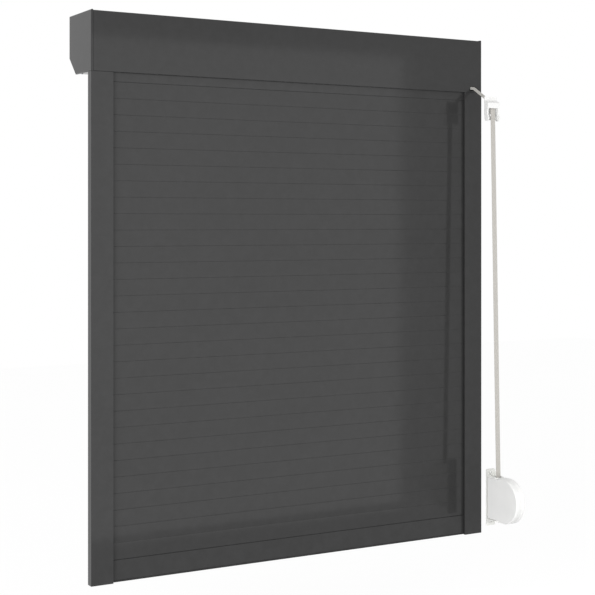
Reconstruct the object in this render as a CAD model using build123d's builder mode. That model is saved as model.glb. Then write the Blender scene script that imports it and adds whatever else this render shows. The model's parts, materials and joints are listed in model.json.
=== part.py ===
# Exterior roller shutter for front mounting, seen and dimensioned from the room.
# X runs to the right seen from the room, Y runs outwards, Z runs up.
# The origin is the middle of the lower edge of the flat back that lies on the wall.

import os
from math import asin, atan2, cos, hypot, radians, sin, tan, tau

from build123d import *

os.makedirs("parts", exist_ok=True)

# Whole shutter
shutter_width = 1080.0
rail_length = 1145.0
wall_depth = 72.8  # from the flat back to the inner wall that carries strap guide and winder

# Clearances
clearance = 0.3
running_fit = 0.08
overrun = 5.0

# Box with a 45 degree lower front
box_size = 137.0
box_bevel = 39.5
bevel_angle = 45.0
box_sheet = 1.2
box_bend = 1.5
box_rim = 1.6  # how far the end caps stand proud of the sheet
front_lip = 12.0
cover_step = 6.0
slot_rear_lip = 5.5
slot_front = 21.0
slot_lip_height = 8.0

# End caps
cap_plate = 5.0
cap_flange = 12.0
cap_flange_wall = 2.0
cap_corner = 1.0
boss_wall = 3.0
boss_length = 9.5
spigot_width = 13.0
spigot_depth = 10.0
spigot_length = 25.0

# Guide rails
rail_width = 53.0
rail_depth = 20.0
rail_wall = 1.6
rail_rear_leg = 6.0
rail_front_leg = 3.0
channel_depth = 17.0
groove_width = 5.0
groove_depth = 1.2
groove_mouth = 3.0
groove_lip = 0.7
groove_inset = 1.5
drill_mark = 0.6
mark_turn = 45.0
rail_corner = 0.6

# Brush strips in the rails
bristle_thickness = 1.6
brush_play = 0.1

# Inlet funnels on the rails
funnel_height = 5.6
funnel_wall = 1.5
funnel_flare = 2.0

# Slats of the curtain
slat_cover = 37.0
slat_thickness = 8.0
slat_gap = 0.3
slat_edge = 0.35
slat_skin = 1.0
slat_lip = 1.4
neck_offset = 2.7
neck_thickness = 1.4
neck_height = 4.6
head_reach = 3.5
head_height = 1.5
head_edge = 0.4
throat_play_room = 0.6
throat_play_front = 1.1
pocket_height = 4.8
slat_end_play = 1.2  # between a slat's end and the strap disc
curtain_recess = 8.0  # from the flat back to the face of the slats
curtain_entry = 20.7  # from the head of the uppermost full slat to the box
pull_play = 1.65  # how far the slats above the rails hang apart
bend_angle = 15.0
second_bend_angle = 14.0

# End slat, its rubber seal and its stop buffers
end_cover_least = 45.0
end_wall = 1.4
seal_height = 5.0
seal_inset = 1.0
seal_neck = 3.0
seal_head = 5.0
seal_head_height = 1.6
seal_lip = 1.2
end_web = 2.0
buffer_radius = 9.0
buffer_length = 28.0
buffer_taper = 5.0
buffer_height = 40.0
buffer_share = 0.6  # of the half length of the end slat

# Axle
tube_flats = 40.0
tube_wall = 1.0
tube_turn = 22.5  # lays a flat of the octagon on top
pin_radius = 6.0
plug_length = 30.0
bearing_radius = 14.0
bearing_width = 8.0

# Strap and strap disc
strap_width = 14.0
strap_thickness = 1.2
coil_sides = 32  # of the strap's hidden coils, and of the disc and drum that carry them
coil_play = 0.5
strap_edge = 28.0  # from the shutter's right edge to the middle of the strap
disc_room = 9.5  # between the disc and the box's outline
disc_hub = 30.0
disc_flange = 1.8
disc_play = 1.0
disc_coil_radius = 45.0
disc_window_radius = 6.0
disc_rim = 3.0
disc_windows = 6
window_sides = 6

# Rollers that turn the strap at the box and at the inner wall
outlet_roller_radius = 3.5
outlet_inset = 5.0
outlet_height = 10.8  # of the roller's centre above the box's lower edge
journal_radius = 1.5
journal_length = 1.2
outlet_frame_wall = 1.0
outlet_frame_depth = 9.5
outlet_frame_drop = 4.9
outlet_frame_rise = 7.2
outlet_slit_rise = 5.4
guide_roller_radius = 4.2
guide_roller_reach = 5.2  # from the inner wall
guide_roller_drop = 22.2  # of its centre below the top of the strap guide

# Strap guide on the inner wall
guide_width = 38.0
guide_height = 63.2
guide_drop = 16.0  # from the box's lower edge down to the top of the guide
guide_depth = 15.0
guide_corner = 3.0
guide_cheek = 4.0
hood_height = 30.5
hood_wall = 1.5
hood_web = 2.0  # between the hood's channel and its hollow sides
hood_below_top = 10.4  # from the top of the guide down to the hood's roof at the plate
hood_fall = 0.46  # of the hood's roof over its depth
hood_round = 2.5
guide_channel = 17.0
guide_floor = 2.0
guide_entry_height = 16.4
guide_entry_top = 11.1
guide_lip_reach = 17.0
guide_waist_reach = 12.6
guide_waist_height = 19.0
guide_hole_radius = 2.2
guide_hole_top = 5.5
guide_hole_pitch = 41.5

# Strap winder that swivels on its wall bracket
winder_height = 108.8  # of the drum's centre
winder_radius = 55.6
winder_width = 27.0
winder_wall = 1.8
winder_edge = 2.0
winder_groove = 0.5
winder_band = 11.0
swivel_reach = 33.7
swivel_radius = 30.0
drum_reach = 34.5  # from the swivel axis to the drum's axis
arbor_radius = 5.2
drum_hub_radius = 24.0
drum_hub_wall = 3.2
drum_flange_radius = 44.0
drum_flange = 1.2
drum_width = 18.0
drum_sleeve_wall = 2.0
drum_sleeve_length = 4.0
drum_coil_radius = 32.5
spring_thickness = 0.6
spring_turns = 5
spring_steps = 14
spring_inner = 5.7
spring_pitch = 2.8
spring_width = 12.0
swivel_pin_radius = 4.0
swivel_boss_radius = 9.6
swivel_boss_wall = 1.4
swivel_step_play = 1.0  # between the bracket's lugs and the step in front of them
bracket_height = 143.6
bracket_plate = 3.0
bracket_lug = 2.5
bracket_lug_play = 0.4
bracket_gusset = 2.0
bracket_gusset_rise = 10.0
bracket_gusset_share = 0.385  # how full the hollow edge of a gusset is
bracket_hole_radius = 2.4
bracket_hole_pitch = 125.0
bracket_corner = 3.0

# Curtain hangers
hanger_width = 20.0
hanger_thickness = 0.8
hanger_pitch = 320.0
hanger_foot = 16.0
hanger_rise = 5.0

# Places worked out from the sizes
half_width = shutter_width / 2
box_bottom = rail_length
box_top = box_bottom + box_size
cap_inner = half_width - cap_plate
sheet_end = cap_inner - clearance
axle_y = box_size / 2
axle_z = box_bottom + box_size / 2
disc_radius = box_size / 2 - disc_room
disc_window_ring = disc_radius - disc_rim - disc_window_radius
curtain_top = rail_length - curtain_entry
full_slats = int((curtain_top - end_cover_least) / slat_cover)
end_cover = curtain_top - full_slats * slat_cover
guide_top = box_bottom - guide_drop
guide_roller_height = guide_top - guide_roller_drop
rail_inner = half_width - rail_width
rail_top = rail_length - clearance
channel_end = rail_inner + channel_depth
channel_rear = rail_rear_leg
channel_front = rail_depth - rail_front_leg
strap_x = half_width - strap_edge
disc_inner = strap_x - strap_width / 2 - disc_play - disc_flange
slat_half = disc_inner - slat_end_play
slat_length = 2 * slat_half
slat_middle = curtain_recess + slat_thickness / 2
inner_wall_y = -wall_depth
swivel_y = inner_wall_y - swivel_reach
drum_y = swivel_y - drum_reach


def finish(piece, name):
    piece.label = name
    export_step(piece, f"parts/{name}.step")


# A flat plane across the shutter at a distance to the right, with Y and Z as its directions
def across(x):
    return Plane.YZ.offset(x)


# The box's section, moved inwards by a given inset on every side but the back
def box_corners(inset, rear):
    turn = inset * tan(radians(bevel_angle) / 2)
    return (
        (rear, box_bottom + inset),
        (box_size - box_bevel - turn, box_bottom + inset),
        (box_size - inset, box_bottom + box_bevel + turn),
        (box_size - inset, box_top - inset),
        (rear, box_top - inset),
    )


# Rear panel and roof of the box, one bent sheet with a lip under the front and behind the curtain
front = box_size - box_rim
roof = box_top - box_rim
slit_low = box_bottom + outlet_height - outlet_frame_drop
slit_high = box_bottom + outlet_height + outlet_slit_rise
slit_half = strap_width / 2 + disc_play
with BuildPart() as box_shell:
    with BuildSketch(across(-sheet_end)):
        with BuildLine():
            FilletPolyline(
                (slot_rear_lip, box_bottom),
                (0, box_bottom),
                (0, roof),
                (front, roof),
                (front, roof - front_lip),
                radius=box_bend,
            )
            offset(amount=box_sheet, side=Side.RIGHT)
        make_face()
    extrude(amount=2 * sheet_end)
    # the lip behind the curtain stops short of the rails
    for side in (-1, 1):
        with BuildSketch(across(side * (rail_inner - clearance))):
            with Locations((box_sheet, box_bottom - overrun)):
                Rectangle(rail_depth, overrun + 2 * box_bend, align=(Align.MIN, Align.MIN))
        extrude(amount=side * rail_width, mode=Mode.SUBTRACT)
    # slit that the strap leaves the box through
    with BuildSketch(Plane.XZ):
        with Locations((strap_x, (slit_low + slit_high) / 2)):
            Rectangle(2 * slit_half, slit_high - slit_low)
    extrude(amount=overrun, both=True, mode=Mode.SUBTRACT)
finish(box_shell.part, "box_shell")

# Inspection cover: front, bevel and underside, hooked behind the roof's lip
bevel_turn = box_rim * tan(radians(bevel_angle) / 2)
cover_floor = box_bottom + box_rim
cover_top = roof - front_lip - clearance
tuck = front - box_sheet - clearance
with BuildPart() as inspection_cover:
    with BuildSketch(across(-sheet_end)):
        with BuildLine():
            FilletPolyline(
                (slot_front, cover_floor + slot_lip_height),
                (slot_front, cover_floor),
                (box_size - box_bevel - bevel_turn, cover_floor),
                (front, box_bottom + box_bevel + bevel_turn),
                (front, cover_top),
                (tuck, cover_top),
                (tuck, cover_top + cover_step),
                radius=(box_bend, box_bend, box_bend, 0, 0),
            )
            offset(amount=box_sheet, side=Side.LEFT)
        make_face()
    extrude(amount=2 * sheet_end)
finish(inspection_cover.part, "inspection_cover")

# End caps: a plate with the box's outline, a flange inside the sheets, a bearing boss
# and a spigot that plugs into the rail
flange_inset = box_rim + box_sheet + clearance
flange_rear = box_sheet + clearance
spigot_outer = half_width - rail_wall - clearance
spigot_front = channel_front + rail_front_leg - rail_wall - clearance
with BuildPart() as end_cap_right:
    with BuildSketch(across(cap_inner)) as plate:
        with BuildLine():
            Polyline(*box_corners(0, 0), close=True)
        make_face()
    extrude(amount=cap_plate)
    chamfer(end_cap_right.edges().group_by(Axis.X)[-1], length=cap_corner)
    with BuildSketch(across(cap_inner)):
        with BuildLine():
            Polyline(*box_corners(flange_inset, flange_rear), close=True)
        make_face()
        with BuildLine():
            Polyline(*box_corners(flange_inset + cap_flange_wall, flange_rear + cap_flange_wall),
                     close=True)
        make_face(mode=Mode.SUBTRACT)
        # the flange is open where the curtain passes and where the cover hooks in
        with Locations((0, box_bottom)):
            Rectangle(slot_front + 2 * box_sheet, slot_lip_height + flange_inset,
                      align=(Align.MIN, Align.MIN), mode=Mode.SUBTRACT)
        with Locations((box_size, cover_top + cover_step / 2)):
            Rectangle(2 * box_bevel, cover_step + 2 * box_sheet, mode=Mode.SUBTRACT)
    extrude(amount=-cap_flange)
    with BuildSketch(across(cap_inner)):
        with Locations((axle_y, axle_z)):
            Circle(bearing_radius + boss_wall)
    extrude(amount=-boss_length)
    with BuildSketch(across(cap_inner - boss_length)):
        with Locations((axle_y, axle_z)):
            Circle(bearing_radius + running_fit)
    extrude(amount=bearing_width + clearance, mode=Mode.SUBTRACT)
    with BuildSketch(Plane.XY.offset(box_bottom - spigot_length)):
        with Locations((spigot_outer, spigot_front)):
            Rectangle(spigot_width, spigot_depth, align=(Align.MAX, Align.MAX))
    extrude(amount=spigot_length + flange_inset + cap_flange_wall)
finish(end_cap_right.part, "end_cap_right")

with BuildPart() as end_cap_left:
    mirror(end_cap_right.part, about=Plane.YZ)
finish(end_cap_left.part, "end_cap_left")

# Guide rails: curtain channel with a brush groove in each leg, and a screw chamber behind it
groove_middle = rail_inner + groove_inset + groove_width / 2
with BuildPart() as guide_rail_right:
    with BuildSketch():
        with Locations((rail_inner, 0)):
            Rectangle(rail_width, rail_depth, align=(Align.MIN, Align.MIN))
        with Locations((rail_inner, channel_rear)):
            Rectangle(channel_depth, channel_front - channel_rear, align=(Align.MIN, Align.MIN),
                      mode=Mode.SUBTRACT)
        with Locations((half_width - rail_wall, rail_depth / 2)):
            Rectangle(rail_width - channel_depth - 2 * rail_wall, rail_depth - 2 * rail_wall,
                      align=(Align.MAX, Align.CENTER), mode=Mode.SUBTRACT)
        with Locations((channel_end, rail_rear_leg / 2)):
            Rectangle(channel_depth - groove_width - 2 * groove_inset - rail_wall,
                      rail_rear_leg - 2 * rail_wall, align=(Align.MAX, Align.CENTER), mode=Mode.SUBTRACT)
        for side, mouth in ((-1, channel_rear), (1, channel_front)):
            with Locations((groove_middle, mouth)):
                Rectangle(groove_mouth, 2 * groove_lip + groove_depth, mode=Mode.SUBTRACT)
            with Locations((groove_middle, mouth + side * (groove_lip + groove_depth / 2))):
                Rectangle(groove_width, groove_depth, mode=Mode.SUBTRACT)
        # shallow mark that guides the drill on the outdoor face
        with Locations((half_width - (rail_width - channel_depth) / 2, rail_depth)):
            Rectangle(drill_mark, drill_mark, rotation=mark_turn, mode=Mode.SUBTRACT)
    extrude(amount=rail_top)
    fillet(guide_rail_right.edges().filter_by(Axis.Z).filter_by(
        lambda edge: edge.center().X > half_width - rail_corner), radius=rail_corner)
finish(guide_rail_right.part, "guide_rail_right")

with BuildPart() as guide_rail_left:
    mirror(guide_rail_right.part, about=Plane.YZ)
finish(guide_rail_left.part, "guide_rail_left")

# Brush strips: a foot in each groove and bristles that reach to the slats
slat_rear = curtain_recess
slat_front = curtain_recess + slat_thickness
with BuildPart() as brush_seals:
    with BuildSketch(Plane.XY.offset(seal_height)):
        for side, mouth, face in ((-1, channel_rear, slat_rear), (1, channel_front, slat_front)):
            foot = mouth + side * (groove_lip + groove_depth / 2)
            tip = face + side * clearance
            with Locations((groove_middle, foot)):
                Rectangle(groove_width - 2 * brush_play, groove_depth - 2 * brush_play)
            with Locations((groove_middle, (foot + tip) / 2)):
                Rectangle(bristle_thickness, abs(tip - foot))
    extrude(amount=rail_top - 2 * seal_height)
    mirror(brush_seals.part, about=Plane.YZ)
finish(brush_seals.part, "brush_seals")

# Inlet funnels: flared mouths that stand on the rails and lead the curtain in
with BuildPart() as inlet_funnels:
    with BuildSketch(Plane.XY.offset(rail_top)):
        with Locations((rail_inner, channel_rear - funnel_wall)):
            Rectangle(channel_depth + rail_wall - clearance,
                      channel_front - channel_rear + 2 * funnel_wall, align=(Align.MIN, Align.MIN))
    with BuildSketch(Plane.XY.offset(rail_top + funnel_height)):
        with Locations((rail_inner, channel_rear - funnel_wall)):
            Rectangle(channel_depth + rail_wall - clearance,
                      channel_front - channel_rear + 2 * funnel_wall + funnel_flare,
                      align=(Align.MIN, Align.MIN))
    loft()
    with BuildSketch(Plane.XY.offset(rail_top)):
        with Locations((rail_inner - overrun, channel_rear)):
            Rectangle(channel_depth + overrun - clearance, channel_front - channel_rear,
                      align=(Align.MIN, Align.MIN))
    with BuildSketch(Plane.XY.offset(rail_top + funnel_height)):
        with Locations((rail_inner - overrun, channel_rear)):
            Rectangle(channel_depth + overrun - clearance, channel_front - channel_rear + funnel_flare,
                      align=(Align.MIN, Align.MIN))
    loft(mode=Mode.SUBTRACT)
    mirror(inlet_funnels.part, about=Plane.YZ)
finish(inlet_funnels.part, "inlet_funnels")


# Section of a slat from its lower edge: a body with a pocket below and a hooked head above.
# The head hangs in the pocket of the slat above and can move up and turn in it.
def slat_outline(cover, pocket):
    top = cover - slat_gap
    head_low = top + neck_height
    head_high = head_low + head_height
    neck_end = neck_offset + neck_thickness
    head_end = neck_offset + head_reach
    far = slat_thickness
    upper = [
        (0, top - slat_edge),
        (slat_edge, top),
        (neck_offset, top),
        (neck_offset, head_high - head_edge),
        (neck_offset + head_edge, head_high),
        (head_end - head_edge, head_high),
        (head_end, head_high - head_edge),
        (head_end, head_low),
        (neck_end, head_low),
        (neck_end, top),
        (far - slat_edge, top),
        (far, top - slat_edge),
    ]
    lower = [(far, slat_edge), (far - slat_edge, 0)]
    if pocket:
        pocket_high = slat_lip + pocket_height
        mouth_near = neck_offset - throat_play_room
        mouth_far = neck_end + throat_play_front
        lower += [
            (mouth_far, 0),
            (mouth_far, slat_lip),
            (far - slat_skin, slat_lip),
            (far - slat_skin, pocket_high),
            (slat_skin, pocket_high),
            (slat_skin, slat_lip),
            (mouth_near, slat_lip),
            (mouth_near, 0),
        ]
    lower += [(slat_edge, 0), (0, slat_edge)]
    return upper + lower


# A plane at a slat's lower edge, on its room face, leaning outwards by a given angle
def slat_plane(y, z, lean):
    turn = radians(lean)
    return Plane(origin=(-slat_half, y, z), x_dir=(0, cos(turn), -sin(turn)), z_dir=(1, 0, 0))


# Curtain: the slats between the rails, one above the other
for number in range(1, full_slats + 1):
    with BuildPart() as slat:
        with BuildSketch(slat_plane(slat_rear, end_cover + slat_cover * (number - 1), 0)):
            with BuildLine():
                Polyline(*slat_outline(slat_cover, True), close=True)
            make_face()
        extrude(amount=slat_length)
    finish(slat.part, f"slat_{number:02d}")

# Top slats: one that passes into the box and two that lean over towards the axle
top_places = [(slat_rear, end_cover + slat_cover * full_slats, 0)]
lean = 0
for bend in (bend_angle, second_bend_angle):
    y, z, before = top_places[-1]
    step = slat_cover + pull_play
    centre_y = y + slat_thickness / 2 * cos(radians(before)) + step * sin(radians(before))
    centre_z = z - slat_thickness / 2 * sin(radians(before)) + step * cos(radians(before))
    lean += bend
    top_places.append((
        centre_y - slat_thickness / 2 * cos(radians(lean)),
        centre_z + slat_thickness / 2 * sin(radians(lean)),
        lean,
    ))
with BuildPart() as top_slats:
    for y, z, lean in top_places:
        with BuildSketch(slat_plane(y, z, lean)):
            with BuildLine():
                Polyline(*slat_outline(slat_cover, True), close=True)
            make_face()
        extrude(amount=slat_length)
finish(top_slats.part, "top_slats")

# End slat: a hollow bar with the same head, and a groove below for the rubber seal
end_inner = slat_thickness - 2 * end_wall
end_hollow_low = seal_height + seal_lip + seal_head_height + end_web
end_hollow_high = end_cover - slat_gap - end_web
with BuildPart() as end_slat:
    with BuildSketch(across(-slat_half)):
        with BuildLine():
            Polyline(*[(slat_rear + y, z if z > seal_height else seal_height + z)
                       for y, z in slat_outline(end_cover, False)], close=True)
        make_face()
        with Locations((slat_middle, (end_hollow_low + end_hollow_high) / 2)):
            Rectangle(end_inner, end_hollow_high - end_hollow_low, mode=Mode.SUBTRACT)
        with Locations((slat_middle, seal_height + seal_lip / 2)):
            Rectangle(seal_neck, seal_lip, mode=Mode.SUBTRACT)
        with Locations((slat_middle, seal_height + seal_lip + seal_head_height / 2)):
            Rectangle(seal_head, seal_head_height, mode=Mode.SUBTRACT)
    extrude(amount=slat_length)
finish(end_slat.part, "end_slat")

# Bottom seal: a rubber strip that hangs in the end slat's groove and meets the sill
seal_width = slat_thickness - 2 * seal_inset
with BuildPart() as bottom_seal:
    with BuildSketch(across(-slat_half)):
        with Locations((slat_middle, 0)):
            Rectangle(seal_width, seal_height, align=(Align.CENTER, Align.MIN))
        with Locations((slat_middle, seal_height)):
            Rectangle(seal_neck - 2 * brush_play, seal_lip + 2 * brush_play,
                      align=(Align.CENTER, Align.MIN))
        with Locations((slat_middle, seal_height + seal_lip + brush_play)):
            Rectangle(seal_head - 2 * brush_play, seal_head_height - 2 * brush_play,
                      align=(Align.CENTER, Align.MIN))
    extrude(amount=slat_length)
finish(bottom_seal.part, "bottom_seal")

# Stop buffers on the outdoor face of the end slat, which meet the box when the curtain is up
with BuildPart() as stop_buffers:
    for side in (-1, 1):
        spot = (side * buffer_share * slat_half, slat_front, buffer_height)
        with BuildSketch(Plane(origin=spot, x_dir=(1, 0, 0), z_dir=(0, 1, 0))):
            Circle(buffer_radius)
        extrude(amount=buffer_length, taper=buffer_taper)
finish(stop_buffers.part, "stop_buffers")
lift = cover_floor - clearance - buffer_height - buffer_radius
print("curtain lift", round(lift, 3))

# Axle: an octagonal tube, a plug with a pin in each end and a ball bearing on each pin
tube_end = strap_x + strap_width / 2 + disc_play + disc_flange
with BuildPart() as axle_tube:
    with BuildSketch(across(-tube_end)):
        with Locations((axle_y, axle_z)):
            RegularPolygon(tube_flats / 2, 8, major_radius=False, rotation=tube_turn)
            RegularPolygon(tube_flats / 2 - tube_wall, 8, major_radius=False, rotation=tube_turn,
                           mode=Mode.SUBTRACT)
    extrude(amount=2 * tube_end)
finish(axle_tube.part, "axle_tube")

pin_end = cap_inner - boss_length + bearing_width
with BuildPart() as tube_plugs:
    for side in (-1, 1):
        with BuildSketch(across(side * tube_end)):
            with Locations((axle_y, axle_z)):
                RegularPolygon(tube_flats / 2 - tube_wall - clearance / 2, 8, major_radius=False,
                               rotation=tube_turn)
        extrude(amount=-side * plug_length)
        with BuildSketch(across(side * tube_end)):
            with Locations((axle_y, axle_z)):
                Circle(pin_radius)
        extrude(amount=side * (pin_end - tube_end))
finish(tube_plugs.part, "tube_plugs")

with BuildPart() as ball_bearings:
    for side in (-1, 1):
        with BuildSketch(across(side * (cap_inner - boss_length + clearance))):
            with Locations((axle_y, axle_z)):
                Circle(bearing_radius)
                Circle(pin_radius + running_fit, mode=Mode.SUBTRACT)
        extrude(amount=side * bearing_width)
finish(ball_bearings.part, "ball_bearings")

# Strap disc on the tube's right end: two flanges with windows and a hub that the strap winds on
flange_middle = strap_width / 2 + disc_play + disc_flange / 2
with BuildPart() as strap_disc:
    with BuildSketch(across(strap_x)):
        with Locations((axle_y, axle_z)):
            RegularPolygon(disc_hub, coil_sides)
    extrude(amount=strap_width / 2 + disc_play, both=True)
    for side in (-1, 1):
        with BuildSketch(across(strap_x + side * flange_middle)):
            with Locations((axle_y, axle_z)):
                RegularPolygon(disc_radius, coil_sides)
                with PolarLocations(disc_window_ring, disc_windows):
                    RegularPolygon(disc_window_radius, window_sides, mode=Mode.SUBTRACT)
        extrude(amount=disc_flange / 2, both=True)
    with BuildSketch(across(strap_x)):
        with Locations((axle_y, axle_z)):
            RegularPolygon(tube_flats / 2 + clearance / 2, 8, major_radius=False, rotation=tube_turn)
    extrude(amount=strap_width + overrun, both=True, mode=Mode.SUBTRACT)
finish(strap_disc.part, "strap_disc")

with BuildPart() as disc_coil:
    with BuildSketch(across(strap_x)):
        with Locations((axle_y, axle_z)):
            RegularPolygon(disc_coil_radius, coil_sides)
            RegularPolygon(disc_hub + coil_play, coil_sides, mode=Mode.SUBTRACT)
    extrude(amount=strap_width / 2, both=True)
finish(disc_coil.part, "disc_coil")

# Outlet in the box's rear panel: a frame behind the slit and a roller that the strap bends over
outlet_y = outlet_inset
outlet_z = box_bottom + outlet_height
with BuildPart() as outlet_frame:
    with BuildSketch(across(strap_x)):
        with Locations((box_sheet + clearance, outlet_z - outlet_frame_drop)):
            Rectangle(outlet_frame_depth, outlet_frame_drop + outlet_frame_rise,
                      align=(Align.MIN, Align.MIN))
    extrude(amount=slit_half + outlet_frame_wall, both=True)
    with BuildSketch(across(strap_x)):
        with Locations((0, outlet_z)):
            Rectangle(2 * outlet_frame_depth + 2 * overrun, 2 * outlet_frame_rise - 2 * outlet_frame_wall,
                      align=(Align.CENTER, Align.CENTER))
        with Locations((box_sheet + clearance + 2 * outlet_frame_wall, outlet_z)):
            Rectangle(outlet_frame_depth, overrun + outlet_frame_rise, align=(Align.MIN, Align.MIN))
    extrude(amount=slit_half, both=True, mode=Mode.SUBTRACT)
    with BuildSketch(across(strap_x)):
        with Locations((outlet_y, outlet_z)):
            Circle(journal_radius + running_fit)
    extrude(amount=strap_width, both=True, mode=Mode.SUBTRACT)
finish(outlet_frame.part, "outlet_frame")


# A strap roller with a journal at each end
def roller(y, z, radius, half_length, reach):
    with BuildPart() as wheel:
        with BuildSketch(across(strap_x)):
            with Locations((y, z)):
                Circle(radius)
        extrude(amount=half_length, both=True)
        with BuildSketch(across(strap_x)):
            with Locations((y, z)):
                Circle(journal_radius)
        extrude(amount=reach, both=True)
    return wheel.part


outlet_roller = roller(outlet_y, outlet_z, outlet_roller_radius, slit_half - clearance,
                       slit_half + outlet_frame_wall)
finish(outlet_roller, "outlet_roller")
guide_roller_y = inner_wall_y - guide_roller_reach
guide_half = guide_channel / 2
guide_roller = roller(guide_roller_y, guide_roller_height, guide_roller_radius,
                      guide_half - clearance, guide_half + journal_length)
finish(guide_roller, "guide_roller")

# Strap guide: a wall plate with two cheeks, a hood over the roller and two countersunk holes
guide_front_y = inner_wall_y - guide_depth
plate_face_y = inner_wall_y - guide_floor
guide_foot = guide_top - guide_height
guide_heel = guide_foot + guide_lip_reach / 2
hood_foot = guide_top - hood_height
hood_back = guide_top - hood_below_top
hood_front = hood_back - hood_fall * (guide_depth - guide_floor)
hood_inner_y = guide_front_y + hood_wall
hood_inner_back = hood_back - hood_wall * hypot(1, hood_fall)
hood_inner_front = hood_inner_back - hood_fall * (plate_face_y - hood_inner_y)
cheek_inner = guide_width / 2 - guide_cheek
with BuildPart() as guide_housing:
    with BuildSketch(across(strap_x)):
        with BuildLine():
            Polyline((inner_wall_y, guide_heel), (inner_wall_y, guide_top), (plate_face_y, guide_top),
                     (plate_face_y, hood_back), (guide_front_y, hood_front), (guide_front_y, hood_foot))
            ThreePointArc(
                (guide_front_y, hood_foot),
                (inner_wall_y - guide_waist_reach, guide_foot + guide_waist_height),
                (inner_wall_y - guide_lip_reach, guide_heel),
            )
            ThreePointArc(
                (inner_wall_y - guide_lip_reach, guide_heel),
                (inner_wall_y - guide_lip_reach / 2, guide_foot),
                (inner_wall_y, guide_heel),
            )
        make_face()
    extrude(amount=guide_width / 2, both=True)
    top_corners = guide_housing.edges().filter_by(Axis.Y).group_by(Axis.Z)[-1]
    fillet(top_corners, radius=guide_corner)
    hood_edges = guide_housing.edges().filter_by(Axis.X)
    fillet(hood_edges.sort_by_distance((strap_x, guide_front_y, hood_front))[:1], radius=hood_round)
    with BuildSketch(across(strap_x)):
        # room for the roller under the hood
        with BuildLine():
            Polyline((plate_face_y, hood_foot - overrun), (plate_face_y, hood_inner_back),
                     (hood_inner_y, hood_inner_front), (hood_inner_y, hood_foot - overrun), close=True)
        make_face()
        # entry from the wall
        with Locations((inner_wall_y + overrun, guide_top - guide_entry_top)):
            Rectangle(guide_floor + overrun, guide_entry_height, align=(Align.MAX, Align.MAX))
    extrude(amount=guide_half, both=True, mode=Mode.SUBTRACT)
    # open channel between the cheeks, below the hood
    with BuildSketch(across(strap_x)):
        with Locations((plate_face_y, guide_foot - overrun)):
            Rectangle(2 * guide_lip_reach, guide_height - hood_height + overrun,
                      align=(Align.MAX, Align.MIN))
    extrude(amount=cheek_inner, both=True, mode=Mode.SUBTRACT)
    # the hood's sides are hollow from the wall
    for side in (-1, 1):
        with BuildSketch(across(strap_x + side * (guide_half + hood_web))):
            with BuildLine():
                Polyline((inner_wall_y + overrun, hood_foot + hood_wall),
                         (inner_wall_y + overrun, hood_inner_back), (plate_face_y, hood_inner_back),
                         (hood_inner_y, hood_inner_front), (hood_inner_y, hood_foot + hood_wall),
                         close=True)
            make_face()
        extrude(amount=side * (cheek_inner - guide_half - hood_web), mode=Mode.SUBTRACT)
    with BuildSketch(across(strap_x)):
        with Locations((guide_roller_y, guide_roller_height)):
            Circle(journal_radius + running_fit)
    extrude(amount=guide_half + journal_length + clearance, both=True, mode=Mode.SUBTRACT)
    for drop in (guide_hole_top, guide_hole_top + guide_hole_pitch):
        with Locations(Plane(origin=(strap_x, plate_face_y, guide_top - drop), z_dir=(0, -1, 0))):
            CounterSinkHole(guide_hole_radius, guide_hole_radius + guide_floor / 2,
                            depth=guide_floor + overrun)
finish(guide_housing.part, "guide_housing")


# Straight run of the strap between two round pieces, each given as centre, radius of the
# strap's lower face and the side of the strap that it lies on
def strap_run(first, second):
    (y1, z1), radius1, side1 = first
    (y2, z2), radius2, side2 = second
    course = atan2(z2 - z1, y2 - y1)
    course -= asin((side2 * radius2 - side1 * radius1) / hypot(y2 - y1, z2 - z1))
    normal_y = -sin(course)
    normal_z = cos(course)
    start = (y1 - side1 * radius1 * normal_y, z1 - side1 * radius1 * normal_z)
    end = (y2 - side2 * radius2 * normal_y, z2 - side2 * radius2 * normal_z)
    return start, end


# Middle of the arc on a round piece between two runs
def arc_middle(centre, before, after):
    y = (before[0] + after[0]) / 2 - centre[0]
    z = (before[1] + after[1]) / 2 - centre[1]
    radius = hypot(before[0] - centre[0], before[1] - centre[1])
    stretch = radius / hypot(y, z)
    return (centre[0] + y * stretch, centre[1] + z * stretch)


# Strap: from the disc over the outlet's roller, through the wall over the guide's roller
# and down to the winder's drum
wound = clearance + strap_thickness
on_disc = ((axle_y, axle_z), disc_coil_radius + wound, -1)
on_outlet = ((outlet_y, outlet_z), outlet_roller_radius + clearance, 1)
on_guide = ((guide_roller_y, guide_roller_height), guide_roller_radius + clearance, 1)
on_drum = ((drum_y, winder_height), drum_coil_radius + wound, -1)
leave_disc, reach_outlet = strap_run(on_disc, on_outlet)
leave_outlet, reach_guide = strap_run(on_outlet, on_guide)
leave_guide, reach_drum = strap_run(on_guide, on_drum)
with BuildPart() as strap:
    with BuildSketch(across(strap_x)) as strap_section:
        with BuildLine() as strap_line:
            Line(leave_disc, reach_outlet)
            ThreePointArc(reach_outlet, arc_middle(on_outlet[0], reach_outlet, leave_outlet), leave_outlet)
            Line(leave_outlet, reach_guide)
            ThreePointArc(reach_guide, arc_middle(on_guide[0], reach_guide, leave_guide), leave_guide)
            Line(leave_guide, reach_drum)
            strap_length = strap_line.wires()[0].length
            offset(amount=strap_thickness, side=Side.RIGHT)
        make_face()
    extrude(amount=strap_width / 2, both=True)
finish(strap.part, "strap")
print("strap run", round(strap_length, 1), "area over length and thickness",
      round(strap_section.sketch.area / strap_length / strap_thickness, 4))

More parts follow.
